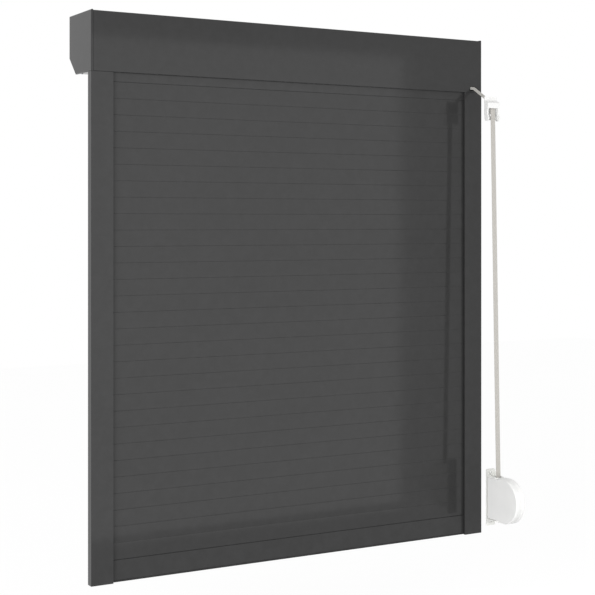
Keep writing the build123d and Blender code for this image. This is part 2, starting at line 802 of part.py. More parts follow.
# Winder bracket: a wall plate with two lugs that the winder swivels between
half_housing = winder_width / 2
plate_front_y = inner_wall_y - bracket_plate
winder_step = bracket_lug + bracket_lug_play
lug_low = winder_radius - bracket_lug
gusset_top = winder_radius + bracket_gusset_rise
with BuildPart() as winder_bracket:
    with BuildSketch(Plane.XZ.offset(-inner_wall_y)):
        with Locations((strap_x, winder_height)):
            RectangleRounded(winder_width, bracket_height, bracket_corner)
            with Locations((0, bracket_hole_pitch / 2), (0, -bracket_hole_pitch / 2)):
                Circle(bracket_hole_radius, mode=Mode.SUBTRACT)
    extrude(amount=bracket_plate)
    for side, hole in ((1, swivel_boss_radius), (-1, swivel_pin_radius)):
        with BuildSketch(Plane.XY.offset(winder_height + side * lug_low)):
            with Locations((strap_x, swivel_y)):
                Circle(winder_width / 2)
            with Locations((strap_x, inner_wall_y - bracket_plate / 2)):
                Rectangle(winder_width, swivel_reach - bracket_plate / 2, align=(Align.CENTER, Align.MAX))
            with Locations((strap_x, swivel_y)):
                Circle(hole + running_fit, mode=Mode.SUBTRACT)
        extrude(amount=side * bracket_lug)
        for edge in (-1, 1):
            with BuildSketch(across(strap_x + edge * (winder_width / 2))):
                with BuildLine():
                    corner = (plate_front_y, winder_height + side * winder_radius)
                    far = (swivel_y, corner[1])
                    high = (plate_front_y, winder_height + side * gusset_top)
                    hollow_y = corner[0] + (far[0] - corner[0]) * bracket_gusset_share
                    hollow_z = corner[1] + (high[1] - corner[1]) * bracket_gusset_share
                    Polyline(high, corner, far)
                    ThreePointArc(far, (hollow_y, hollow_z), high)
                make_face()
            extrude(amount=-edge * bracket_gusset)
finish(winder_bracket.part, "winder_bracket")


# Side view of the winder's housing, which stands back under the bracket's lugs,
# moved inwards by an inset
def housing_side(inset):
    radius = winder_radius - inset
    rear = swivel_y + swivel_radius - inset
    step = swivel_y - half_housing - swivel_step_play - inset
    top = winder_height + radius
    low = winder_height - radius
    Polyline((drum_y, low), (step, low), (step, low + winder_step), (rear, low + winder_step),
             (rear, top - winder_step), (step, top - winder_step), (step, top), (drum_y, top))
    ThreePointArc((drum_y, top), (drum_y - radius, winder_height), (drum_y, low))


# Plan of the winder's housing, with a rear that is round about the swivel axis
def housing_plan(inset):
    with Locations((strap_x, swivel_y)):
        Circle(swivel_radius - inset)
    with Locations((strap_x, swivel_y)):
        Rectangle(2 * winder_width, 2 * winder_radius + drum_reach, align=(Align.CENTER, Align.MAX))


seam = clearance / 2
socket_radius = arbor_radius + running_fit + drum_sleeve_wall
drum_half = drum_width / 2
low_z = winder_height - winder_radius
pin_foot = low_z + winder_step + winder_wall / 2
boss_foot = winder_height + winder_radius - winder_step - winder_wall / 2


# Half of the housing: side is -1 for the left shell and 1 for the right one
def winder_shell(side):
    with BuildPart() as shell:
        with BuildSketch(across(strap_x + side * seam)):
            with BuildLine():
                housing_side(0)
            make_face()
        extrude(amount=side * (half_housing - seam))
        outer_rim = shell.faces().sort_by(Axis.X)[-1 if side > 0 else 0].edges()
        chamfer(outer_rim, length=winder_edge)
        with BuildSketch(Plane.XY.offset(low_z - overrun)):
            housing_plan(0)
        extrude(amount=2 * winder_radius + 2 * overrun, mode=Mode.INTERSECT)
        # a band in the middle that stands slightly back
        with BuildSketch(across(strap_x)):
            with BuildLine():
                housing_side(-overrun)
            make_face()
            with BuildLine():
                housing_side(winder_groove)
            make_face(mode=Mode.SUBTRACT)
            with Locations((drum_y, winder_height)):
                Rectangle(2 * winder_radius, 3 * winder_radius, align=(Align.MIN, Align.CENTER),
                          mode=Mode.SUBTRACT)
        extrude(amount=side * winder_band / 2, mode=Mode.SUBTRACT)
        # the hollow
        with BuildPart(mode=Mode.PRIVATE) as hollow:
            with BuildSketch(across(strap_x)):
                with BuildLine():
                    housing_side(winder_wall)
                make_face()
            extrude(amount=side * (half_housing - winder_wall))
            with BuildSketch(Plane.XY.offset(low_z)):
                housing_plan(winder_wall)
            extrude(amount=2 * winder_radius, mode=Mode.INTERSECT)
        add(hollow.part, mode=Mode.SUBTRACT)
        # swivel pin below, hollow swivel boss above, each split by the seam
        with BuildSketch(Plane.XY.offset(pin_foot)):
            with Locations((strap_x, swivel_y)):
                Circle(swivel_pin_radius)
            with Locations((strap_x + side * seam, swivel_y)):
                Rectangle(winder_width, winder_width, align=(Align.MAX if side > 0 else Align.MIN,
                                                             Align.CENTER), mode=Mode.SUBTRACT)
        extrude(amount=-winder_wall / 2 - winder_step - clearance)
        with BuildSketch(Plane.XY.offset(boss_foot)):
            with Locations((strap_x, swivel_y)):
                Circle(swivel_boss_radius)
            with Locations((strap_x + side * seam, swivel_y)):
                Rectangle(winder_width, winder_width, align=(Align.MAX if side > 0 else Align.MIN,
                                                             Align.CENTER), mode=Mode.SUBTRACT)
        extrude(amount=winder_wall / 2 + winder_step)
        with BuildSketch(Plane.XY.offset(boss_foot - winder_wall)):
            with Locations((strap_x, swivel_y)):
                Circle(swivel_boss_radius - swivel_boss_wall)
        extrude(amount=overrun + winder_step + 2 * winder_wall, mode=Mode.SUBTRACT)
        if side < 0:
            # arbor that carries the drum
            with BuildSketch(across(strap_x - half_housing + winder_wall / 2)):
                with Locations((drum_y, winder_height)):
                    Circle(arbor_radius)
            extrude(amount=winder_width - 2 * winder_wall - winder_wall / 2)
    return shell.part


finish(winder_shell(-1), "winder_shell_left")
finish(winder_shell(1), "winder_shell_right")

# Drum: hub and flanges around the spring, turning on the arbor
hub_inner = drum_hub_radius - drum_hub_wall
with BuildPart() as winder_drum:
    with BuildSketch(across(strap_x - drum_half)):
        with Locations((drum_y, winder_height)):
            RegularPolygon(drum_flange_radius, coil_sides)
    extrude(amount=drum_flange)
    with BuildSketch(across(strap_x + drum_half)):
        with Locations((drum_y, winder_height)):
            RegularPolygon(drum_flange_radius, coil_sides)
            RegularPolygon(hub_inner, coil_sides, mode=Mode.SUBTRACT)
    extrude(amount=-drum_flange)
    with BuildSketch(across(strap_x - drum_half)):
        with Locations((drum_y, winder_height)):
            RegularPolygon(drum_hub_radius, coil_sides)
            RegularPolygon(hub_inner, coil_sides, mode=Mode.SUBTRACT)
    extrude(amount=drum_width)
    with BuildSketch(across(strap_x - drum_half)):
        with Locations((drum_y, winder_height)):
            RegularPolygon(socket_radius, coil_sides)
    extrude(amount=drum_sleeve_length)
    with BuildSketch(across(strap_x - drum_half)):
        with Locations((drum_y, winder_height)):
            Circle(arbor_radius + running_fit)
    extrude(amount=drum_width, mode=Mode.SUBTRACT)
finish(winder_drum.part, "winder_drum")

with BuildPart() as drum_coil:
    with BuildSketch(across(strap_x)):
        with Locations((drum_y, winder_height)):
            RegularPolygon(drum_coil_radius, coil_sides)
            RegularPolygon(drum_hub_radius + coil_play, coil_sides, mode=Mode.SUBTRACT)
    extrude(amount=strap_width / 2, both=True)
finish(drum_coil.part, "drum_coil")

# Clock spring inside the drum, a spiral from the arbor to the hub
with BuildPart() as drum_spring:
    with BuildSketch(across(strap_x - drum_half + drum_sleeve_length + clearance)):
        with BuildLine():
            courses = []
            for extra in (0, spring_thickness):
                course = []
                for step in range(spring_turns * spring_steps + 1):
                    reach = spring_inner + spring_pitch * step / spring_steps + extra
                    course.append((drum_y + reach * cos(tau * step / spring_steps),
                                   winder_height + reach * sin(tau * step / spring_steps)))
                courses.append(course)
            Polyline(*courses[0], *reversed(courses[1]), close=True)
        make_face()
    extrude(amount=spring_width)
finish(drum_spring.part, "drum_spring")

# Curtain hangers: spring strips that lie on the tube and hook behind the top slat
y, z, lean = top_places[-1]
along = radians(lean)
hook = slat_cover - slat_gap + neck_height
across_slat = slat_thickness + clearance
hook_y = y + across_slat * cos(along) + hook * sin(along)
hook_z = z - across_slat * sin(along) + hook * cos(along)
bend_y = hook_y + hanger_rise * sin(along)
bend_z = hook_z + hanger_rise * cos(along)
tube_top = axle_z + tube_flats / 2 + clearance
with BuildPart() as curtain_hangers:
    for number in (-1, 0, 1):
        with BuildSketch(across(number * hanger_pitch - hanger_width / 2)):
            with BuildLine():
                Polyline((hook_y, hook_z), (bend_y, bend_z), (axle_y - hanger_foot / 2, tube_top),
                         (axle_y + hanger_foot / 2, tube_top))
                offset(amount=hanger_thickness, side=Side.LEFT)
            make_face()
        extrude(amount=hanger_width)
finish(curtain_hangers.part, "curtain_hangers")
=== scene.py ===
import json
import math
import random

import bmesh
import bpy
from mathutils import Matrix, Vector

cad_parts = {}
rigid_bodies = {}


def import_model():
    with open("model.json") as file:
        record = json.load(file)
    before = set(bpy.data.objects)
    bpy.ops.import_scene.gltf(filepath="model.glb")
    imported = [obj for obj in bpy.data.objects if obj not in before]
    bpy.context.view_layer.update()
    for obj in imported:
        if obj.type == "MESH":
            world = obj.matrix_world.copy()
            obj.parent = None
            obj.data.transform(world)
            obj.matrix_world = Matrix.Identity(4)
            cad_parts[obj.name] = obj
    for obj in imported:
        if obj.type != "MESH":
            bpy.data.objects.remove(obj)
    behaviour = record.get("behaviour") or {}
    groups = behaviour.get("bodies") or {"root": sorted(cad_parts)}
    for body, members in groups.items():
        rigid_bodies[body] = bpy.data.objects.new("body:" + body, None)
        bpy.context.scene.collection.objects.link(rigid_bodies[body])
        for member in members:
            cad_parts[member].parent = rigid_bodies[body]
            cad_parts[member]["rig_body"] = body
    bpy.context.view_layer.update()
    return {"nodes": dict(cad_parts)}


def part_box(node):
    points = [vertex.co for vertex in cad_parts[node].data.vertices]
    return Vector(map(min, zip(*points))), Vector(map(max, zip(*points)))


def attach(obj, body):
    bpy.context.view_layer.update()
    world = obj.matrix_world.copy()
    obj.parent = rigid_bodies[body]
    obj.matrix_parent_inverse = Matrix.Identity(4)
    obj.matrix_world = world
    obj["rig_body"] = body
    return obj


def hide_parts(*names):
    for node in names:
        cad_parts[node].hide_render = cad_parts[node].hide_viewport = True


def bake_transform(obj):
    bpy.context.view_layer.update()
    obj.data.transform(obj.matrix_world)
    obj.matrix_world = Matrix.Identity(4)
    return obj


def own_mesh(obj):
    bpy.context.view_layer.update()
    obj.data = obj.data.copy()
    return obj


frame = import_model()
nodes = frame["nodes"]
scene = bpy.context.scene
scene.view_settings.view_transform = "Standard"
print("frame loaded with", len(nodes), "nodes")

# Camera and lamps

view = {
    "place": (-1.6675, -2.8861, 0.807),
    "yaw": -29.83,
    "lens": 83.62,
    "shift": -0.12534,
    "clip": (0.05, 60),
}


def makeCamera():
    data = bpy.data.cameras.new("camera")
    data.lens = view["lens"]
    data.shift_y = view["shift"]
    data.clip_start, data.clip_end = view["clip"]
    camera = bpy.data.objects.new("camera", data)
    camera.location = view["place"]
    camera.rotation_euler = (math.radians(90), 0, math.radians(view["yaw"]))
    scene.collection.objects.link(camera)
    scene.camera = camera


# the shutter's coat mirrors the wall lamp, which stands parallel to it
lamps = {
    "keySoftbox": {
        "place": (2.2, -3.4, 2.6), "aim": (0, 0, 0.7), "size": (1.6, 1.6), "power": 3, "mirrored": False,
    },
    "fillSoftbox": {
        "place": (-3.0, -2.0, 1.2), "aim": (0.2, 0, 0.6), "size": (1.8, 1.8), "power": 79,
        "mirrored": False,
    },
    "wallSoftbox": {
        "place": (0.502, -1.4, 0.591), "aim": (0.502, 0, 0.591), "size": (1.484, 1.672), "power": 7.4,
        "mirrored": True,
    },
}


def makeLamps():
    for name, lamp in lamps.items():
        data = bpy.data.lights.new(name, "AREA")
        data.shape = "RECTANGLE"
        data.size, data.size_y = lamp["size"]
        data.energy = lamp["power"]
        light = bpy.data.objects.new(name, data)
        light.location = lamp["place"]
        light.visible_camera = False
        light.visible_glossy = lamp["mirrored"]
        aim = Vector(lamp["aim"]) - Vector(lamp["place"])
        light.rotation_euler = aim.to_track_quat("-Z", "Y").to_euler()
        scene.collection.objects.link(light)


# Node helpers


def addNode(tree, kind, inputs=None, **settings):
    node = tree.nodes.new(kind)
    for key, value in settings.items():
        setattr(node, key, value)
    for socket, value in (inputs or {}).items():
        if isinstance(value, bpy.types.NodeSocket):
            tree.links.new(value, node.inputs[socket])
        else:
            node.inputs[socket].default_value = value
    return node


def mathNode(tree, operation, first, second=0.0):
    return addNode(tree, "ShaderNodeMath", {0: first, 1: second}, operation=operation).outputs[0]


def rangeNode(tree, value, low, high, toLow, toHigh):
    inputs = {"Value": value, "From Min": low, "From Max": high, "To Min": toLow, "To Max": toHigh}
    return addNode(tree, "ShaderNodeMapRange", inputs).outputs[0]


def blendNode(tree, share, first, second, kind="MIX"):
    inputs = {0: share, 6: first, 7: second}
    return addNode(tree, "ShaderNodeMix", inputs, data_type="RGBA", blend_type=kind).outputs[2]


noiseSpan = (0.3, 0.7)  # nearly all of a noise lies in it


def noiseNode(tree, vector, scale, detail=2.0, rough=0.5):
    inputs = {"Vector": vector, "Scale": scale, "Detail": detail, "Roughness": rough}
    return addNode(tree, "ShaderNodeTexNoise", inputs).outputs["Fac"]


def bumpNode(tree, look, height):
    inputs = {"Strength": look["strength"], "Distance": look["relief"], "Height": height}
    return addNode(tree, "ShaderNodeBump", inputs).outputs["Normal"]


def groupNode(tree, group, inputs):
    return addNode(tree, "ShaderNodeGroup", inputs, node_tree=group)


def mixShaders(tree, share, first, second):
    inputs = {0: share, 1: first.outputs[0], 2: second.outputs[0]}
    return addNode(tree, "ShaderNodeMixShader", inputs).outputs[0]


# Rays that see the background: from the camera, mirrored, or through something clear
def backgroundRays(tree):
    rays = addNode(tree, "ShaderNodeLightPath")
    seen = mathNode(tree, "MAXIMUM", rays.outputs["Is Camera Ray"], rays.outputs["Is Glossy Ray"])
    return mathNode(tree, "MAXIMUM", seen, rays.outputs["Is Transmission Ray"])


def newGroup(name, inputs, outputs):
    tree = bpy.data.node_groups.new(name, "ShaderNodeTree")
    for label, kind, value in inputs:
        socket = tree.interface.new_socket(name=label, in_out="INPUT", socket_type=kind)
        if value is not None:
            socket.default_value = value
    for label, kind in outputs:
        tree.interface.new_socket(name=label, in_out="OUTPUT", socket_type=kind)
    return tree, tree.nodes.new("NodeGroupInput"), tree.nodes.new("NodeGroupOutput")


# Shared effects


def makeCoatGrain():
    tree, given, result = newGroup(
        "coatGrain",
        [
            ("Vector", "NodeSocketVector", None),
            ("Grain", "NodeSocketFloat", 1200.0),
            ("Flow", "NodeSocketFloat", 90.0),
            ("Flow Share", "NodeSocketFloat", 0.4),
        ],
        [("Height", "NodeSocketFloat")],
    )
    vector = given.outputs["Vector"]
    grain = noiseNode(tree, vector, given.outputs["Grain"], detail=2.0, rough=0.6)
    flow = noiseNode(tree, vector, given.outputs["Flow"], detail=3.0, rough=0.5)
    flowPart = mathNode(tree, "MULTIPLY", flow, given.outputs["Flow Share"])
    tree.links.new(mathNode(tree, "ADD", grain, flowPart), result.inputs["Height"])
    return tree


def makePatchTone():
    tree, given, result = newGroup(
        "patchTone",
        [
            ("Vector", "NodeSocketVector", None),
            ("Colour", "NodeSocketColor", (0.5, 0.5, 0.5, 1)),
            ("Size", "NodeSocketFloat", 3.0),
            ("Amount", "NodeSocketFloat", 0.05),
        ],
        [("Colour", "NodeSocketColor"), ("Patch", "NodeSocketFloat")],
    )
    patch = noiseNode(tree, given.outputs["Vector"], given.outputs["Size"], detail=4.0, rough=0.55)
    spread = rangeNode(tree, patch, *noiseSpan, -1.0, 1.0)
    shift = mathNode(tree, "MULTIPLY", spread, given.outputs["Amount"])
    gain = mathNode(tree, "ADD", shift, 1.0)
    grey = addNode(tree, "ShaderNodeCombineColor", {0: gain, 1: gain, 2: gain}).outputs[0]
    tone = blendNode(tree, 1.0, given.outputs["Colour"], grey, "MULTIPLY")
    tree.links.new(tone, result.inputs["Colour"])
    tree.links.new(patch, result.inputs["Patch"])
    return tree


def makeEdgeRub():
    tree, given, result = newGroup(
        "edgeRub",
        [
            ("Vector", "NodeSocketVector", None),
            ("Edge", "NodeSocketFloat", 0.0),
            ("Colour", "NodeSocketColor", (0.5, 0.5, 0.5, 1)),
            ("Rubbed", "NodeSocketColor", (0.6, 0.6, 0.6, 1)),
            ("Amount", "NodeSocketFloat", 0.5),
            ("Spots", "NodeSocketFloat", 45.0),
        ],
        [("Colour", "NodeSocketColor")],
    )
    spots = noiseNode(tree, given.outputs["Vector"], given.outputs["Spots"], detail=4.0, rough=0.6)
    spotty = rangeNode(tree, spots, 0.35, 0.7, 0.2, 1.0)
    rub = mathNode(tree, "MULTIPLY", given.outputs["Edge"], spotty)
    rub = mathNode(tree, "MULTIPLY", rub, given.outputs["Amount"])
    colour = blendNode(tree, rub, given.outputs["Colour"], given.outputs["Rubbed"])
    tree.links.new(colour, result.inputs["Colour"])
    return tree


def makeBandWeave():
    tree, given, result = newGroup(
        "bandWeave",
        [
            ("UV", "NodeSocketVector", None),
            ("Warp Pitch", "NodeSocketFloat", 0.0011),
            ("Weft Pitch", "NodeSocketFloat", 0.0014),
            ("Dark", "NodeSocketColor", (0.3, 0.3, 0.3, 1)),
            ("Light", "NodeSocketColor", (0.6, 0.6, 0.6, 1)),
            ("Fuzz Scale", "NodeSocketFloat", 1800.0),
        ],
        [("Colour", "NodeSocketColor"), ("Height", "NodeSocketFloat"), ("Fuzz", "NodeSocketFloat")],
    )
    parts = addNode(tree, "ShaderNodeSeparateXYZ", {0: given.outputs["UV"]})
    warpTurn = mathNode(tree, "DIVIDE", parts.outputs[0], given.outputs["Warp Pitch"])
    weftTurn = mathNode(tree, "DIVIDE", parts.outputs[1], given.outputs["Weft Pitch"])
    # each column of the warp starts half a stitch after the last
    lag = mathNode(tree, "MULTIPLY", mathNode(tree, "FLOOR", warpTurn), 0.5)
    twill = mathNode(tree, "ADD", weftTurn, lag)
    warp = mathNode(tree, "SINE", mathNode(tree, "MULTIPLY", warpTurn, math.tau / 2))
    weft = mathNode(tree, "SINE", mathNode(tree, "MULTIPLY", twill, math.tau))
    warpHigh = mathNode(tree, "ABSOLUTE", warp)
    weftHigh = rangeNode(tree, weft, -1.0, 1.0, 0.4, 1.4)
    height = mathNode(tree, "MULTIPLY", warpHigh, weftHigh)
    fuzz = noiseNode(tree, given.outputs["UV"], given.outputs["Fuzz Scale"], detail=3.0, rough=0.6)
    ragged = mathNode(tree, "ADD", height, mathNode(tree, "MULTIPLY", fuzz, 0.3))
    share = rangeNode(tree, ragged, 0.25, 1.4, 0.0, 1.0)
    colour = blendNode(tree, share, given.outputs["Dark"], given.outputs["Light"])
    tree.links.new(colour, result.inputs["Colour"])
    tree.links.new(ragged, result.inputs["Height"])
    tree.links.new(fuzz, result.inputs["Fuzz"])
    return tree


def makeMetalGrain():
    tree, given, result = newGroup(
        "metalGrain",
        [
            ("Vector", "NodeSocketVector", None),
            ("Spangle", "NodeSocketFloat", 160.0),
            ("Bright", "NodeSocketColor", (0.7, 0.7, 0.7, 1)),
            ("Dull", "NodeSocketColor", (0.5, 0.5, 0.5, 1)),
            ("Dull Roughness", "NodeSocketFloat", 0.5),
            ("Bright Roughness", "NodeSocketFloat", 0.3),
            ("Haze Scale", "NodeSocketFloat", 25.0),
        ],
        [("Colour", "NodeSocketColor"), ("Roughness", "NodeSocketFloat"), ("Height", "NodeSocketFloat")],
    )
    vector = given.outputs["Vector"]
    inputs = {"Vector": vector, "Scale": given.outputs["Spangle"]}
    cells = addNode(tree, "ShaderNodeTexVoronoi", inputs)
    tone = addNode(tree, "ShaderNodeSeparateColor", {0: cells.outputs["Color"]}).outputs[0]
    haze = noiseNode(tree, vector, given.outputs["Haze Scale"], detail=3.0, rough=0.6)
    mixed = mathNode(tree, "MULTIPLY", mathNode(tree, "ADD", tone, haze), 0.5)
    colour = blendNode(tree, mixed, given.outputs["Dull"], given.outputs["Bright"])
    tree.links.new(colour, result.inputs["Colour"])
    ends = (given.outputs["Dull Roughness"], given.outputs["Bright Roughness"])
    tree.links.new(rangeNode(tree, mixed, 0.0, 1.0, *ends), result.inputs["Roughness"])
    tree.links.new(mixed, result.inputs["Height"])
    return tree


coatGrain = makeCoatGrain()
patchTone = makePatchTone()
edgeRub = makeEdgeRub()
bandWeave = makeBandWeave()
metalGrain = makeMetalGrain()
print("shared effects ready")

# Materials

finishes = {
    "shutterCoat": {
        "colour": (0.0335, 0.0335, 0.0335, 1), "rubbed": (0.05, 0.05, 0.051, 1), "rub": 0.5,
        "patch": 0.05, "patchSize": 2.2, "grain": 1300.0, "flow": 110.0, "flowShare": 0.5,
        "relief": 0.00001, "strength": 0.25, "roughness": (0.075, 0.095), "ior": 1.3,
    },
    "whitePlastic": {
        "colour": (0.86, 0.86, 0.85, 1), "rubbed": (0.9, 0.9, 0.89, 1), "rub": 0.4,
        "patch": 0.02, "patchSize": 18.0, "grain": 2200.0, "flow": 220.0, "flowShare": 0.3,
        "relief": 0.00003, "strength": 0.2, "roughness": (0.34, 0.46), "ior": 1.49,
    },
    "whiteCoat": {
        "colour": (0.84, 0.845, 0.815, 1), "rubbed": (0.88, 0.88, 0.86, 1), "rub": 0.4,
        "patch": 0.03, "patchSize": 25.0, "grain": 1600.0, "flow": 260.0, "flowShare": 0.5,
        "relief": 0.00004, "strength": 0.3, "roughness": (0.38, 0.5), "ior": 1.5,
    },
    "blackPlastic": {
        "colour": (0.016, 0.016, 0.017, 1), "rubbed": (0.04, 0.04, 0.04, 1), "rub": 0.5,
        "patch": 0.08, "patchSize": 20.0, "grain": 1900.0, "flow": 150.0, "flowShare": 0.3,
        "relief": 0.00005, "strength": 0.3, "roughness": (0.45, 0.6), "ior": 1.48,
    },
    "blackRubber": {
        "colour": (0.012, 0.012, 0.012, 1), "rubbed": (0.03, 0.03, 0.03, 1), "rub": 0.6,
        "patch": 0.2, "patchSize": 30.0, "grain": 900.0, "flow": 60.0, "flowShare": 0.3,
        "relief": 0.00006, "strength": 0.3, "roughness": (0.68, 0.86), "ior": 1.5,
    },
    "rollerPlastic": {
        "colour": (0.62, 0.62, 0.60, 1), "rubbed": (0.7, 0.7, 0.68, 1), "rub": 0.5,
        "patch": 0.05, "patchSize": 60.0, "grain": 1500.0, "flow": 200.0, "flowShare": 0.4,
        "relief": 0.00002, "strength": 0.2, "roughness": (0.25, 0.4), "ior": 1.53,
    },
    "bristle": {
        "colour": (0.014, 0.014, 0.014, 1), "rubbed": (0.05, 0.05, 0.05, 1), "rub": 0.7,
        "patch": 0.35, "patchSize": 400.0, "grain": 3000.0, "flow": 700.0, "flowShare": 0.6,
        "relief": 0.00006, "strength": 0.4, "roughness": (0.6, 0.8), "ior": 1.5,
    },
}


def startMaterial(name, colour, roughness, metallic=0.0, ior=1.5):
    material = bpy.data.materials.new(name)
    material.use_nodes = True
    material.diffuse_color = colour
    tree = material.node_tree
    shader = tree.nodes["Principled BSDF"]
    shader.inputs["Base Color"].default_value = colour
    shader.inputs["Roughness"].default_value = roughness
    shader.inputs["Metallic"].default_value = metallic
    shader.inputs["IOR"].default_value = ior
    return material, tree, shader


def dressShader(tree, shader, colour, roughness, normal):
    tree.links.new(colour, shader.inputs["Base Color"])
    tree.links.new(roughness, shader.inputs["Roughness"])
    tree.links.new(normal, shader.inputs["Normal"])


# Coated metal, moulded plastic, rubber: grain, slow patches of tone, and rubbed edges
def makeCoated(name):
    look = finishes[name]
    low, high = look["roughness"]
    material, tree, shader = startMaterial(name, look["colour"], (low + high) / 2, ior=look["ior"])
    place = addNode(tree, "ShaderNodeTexCoord").outputs["Object"]
    edge = addNode(tree, "ShaderNodeAttribute", attribute_name="edgeShare").outputs["Fac"]
    grain = groupNode(tree, coatGrain, {
        "Vector": place, "Grain": look["grain"], "Flow": look["flow"], "Flow Share": look["flowShare"],
    })
    tone = groupNode(tree, patchTone, {
        "Vector": place, "Colour": look["colour"], "Size": look["patchSize"], "Amount": look["patch"],
    })
    rub = groupNode(tree, edgeRub, {
        "Vector": place, "Edge": edge, "Colour": tone.outputs["Colour"], "Rubbed": look["rubbed"],
        "Amount": look["rub"],
    })
    gloss = rangeNode(tree, tone.outputs["Patch"], *noiseSpan, low, high)
    normal = bumpNode(tree, look, grain.outputs["Height"])
    dressShader(tree, shader, rub.outputs["Colour"], gloss, normal)
    return material


strapLook = {
    "dark": (0.375, 0.36, 0.332, 1), "light": (0.66, 0.64, 0.603, 1), "roughness": (0.75, 0.92),
    "sheen": 0.25, "sheenRoughness": 0.5, "warpPitch": 0.00155, "weftPitch": 0.0017,
    "fuzzScale": 1800.0, "relief": 0.00018, "strength": 0.55,
}


def makeStrapWeave():
    look = strapLook
    low, high = look["roughness"]
    material, tree, shader = startMaterial("strapWeave", look["light"], (low + high) / 2)
    shader.inputs["Sheen Weight"].default_value = look["sheen"]
    shader.inputs["Sheen Roughness"].default_value = look["sheenRoughness"]
    along = addNode(tree, "ShaderNodeTexCoord").outputs["UV"]
    weave = groupNode(tree, bandWeave, {
        "UV": along, "Warp Pitch": look["warpPitch"], "Weft Pitch": look["weftPitch"],
        "Dark": look["dark"], "Light": look["light"], "Fuzz Scale": look["fuzzScale"],
    })
    gloss = rangeNode(tree, weave.outputs["Fuzz"], *noiseSpan, low, high)
    normal = bumpNode(tree, look, weave.outputs["Height"])
    dressShader(tree, shader, weave.outputs["Colour"], gloss, normal)
    return material


metals = {
    "zincSteel": {
        "bright": (0.66, 0.67, 0.69, 1), "dull": (0.46, 0.47, 0.49, 1), "spangle": 140.0,
        "roughness": (0.5, 0.3), "relief": 0.00003, "strength": 0.2,
    },
    "springSteel": {
        "bright": (0.42, 0.43, 0.46, 1), "dull": (0.26, 0.27, 0.3, 1), "spangle": 500.0,
        "roughness": (0.5, 0.3), "relief": 0.00003, "strength": 0.2,
    },
}


def makeMetal(name):
    look = metals[name]
    dull, bright = look["roughness"]
    material, tree, shader = startMaterial(name, look["bright"], (dull + bright) / 2, metallic=1.0)
    place = addNode(tree, "ShaderNodeTexCoord").outputs["Object"]
    grain = groupNode(tree, metalGrain, {
        "Vector": place, "Spangle": look["spangle"], "Bright": look["bright"], "Dull": look["dull"],
        "Dull Roughness": dull, "Bright Roughness": bright,
    })
    normal = bumpNode(tree, look, grain.outputs["Height"])
    dressShader(tree, shader, grain.outputs["Colour"], grain.outputs["Roughness"], normal)
    return material


looks = {name: makeCoated(name) for name in finishes}
looks["strapWeave"] = makeStrapWeave()
for metalName in metals:
    looks[metalName] = makeMetal(metalName)
print("materials ready:", len(looks))

slotLooks = {
    "shutter_coat": "shutterCoat",
    "black_plastic": "blackPlastic",
    "bristle": "bristle",
    "black_rubber": "blackRubber",
    "zinc_steel": "zincSteel",
    "spring_steel": "springSteel",
    "strap_weave": "strapWeave",
    "white_plastic": "whitePlastic",
    "roller_plastic": "rollerPlastic",
    "white_coat": "whiteCoat",
}

# World and floor

room = {
    "light": 0.6, "white": (1, 1, 1, 1), "floorHeight": -0.26, "floorSize": 14.0,
    "floorGrey": (0.84, 0.84, 0.84, 1), "floorRoughness": 0.9, "floorMottle": 0.01,
    "floorShow": 0.8, "floorGlow": 1.1,
}


def makeWorld():
    world = bpy.data.worlds.new("studio")
    scene.world = world
    world.use_nodes = True
    tree = world.node_tree
    tree.nodes.clear()
    plain = addNode(tree, "ShaderNodeBackground", {"Color": room["white"], "Strength": room["light"]})
    shown = addNode(tree, "ShaderNodeBackground", {"Color": room["white"], "Strength": 1.0})
    out = addNode(tree, "ShaderNodeOutputWorld")
    tree.links.new(mixShaders(tree, backgroundRays(tree), plain, shown), out.inputs["Surface"])


def makeFloor():
    bm = bmesh.new()
    bmesh.ops.create_grid(bm, x_segments=8, y_segments=8, size=room["floorSize"] / 2)
    bmesh.ops.translate(bm, vec=(0, 0, room["floorHeight"]), verts=bm.verts)
    mesh = bpy.data.meshes.new("floor")
    bm.to_mesh(mesh)
    bm.free()
    floor = bpy.data.objects.new("floor", mesh)
    scene.collection.objects.link(floor)
    material, tree, shader = startMaterial("floorCard", room["floorGrey"], room["floorRoughness"])
    place = addNode(tree, "ShaderNodeTexCoord").outputs["Object"]
    inputs = {"Vector": place, "Colour": room["floorGrey"], "Amount": room["floorMottle"]}
    mottle = groupNode(tree, patchTone, inputs)
    tree.links.new(mottle.outputs["Colour"], shader.inputs["Base Color"])
    seen = mathNode(tree, "MULTIPLY", backgroundRays(tree), room["floorShow"])
    glow = addNode(tree, "ShaderNodeEmission", {"Color": room["white"], "Strength": room["floorGlow"]})
    surface = tree.nodes["Material Output"].inputs["Surface"]
    tree.links.new(mixShaders(tree, seen, shader, glow), surface)
    mesh.materials.append(material)


makeCamera()
makeLamps()
makeWorld()
makeFloor()
print("camera, light and floor ready")

# Rounded copies of the rigid parts

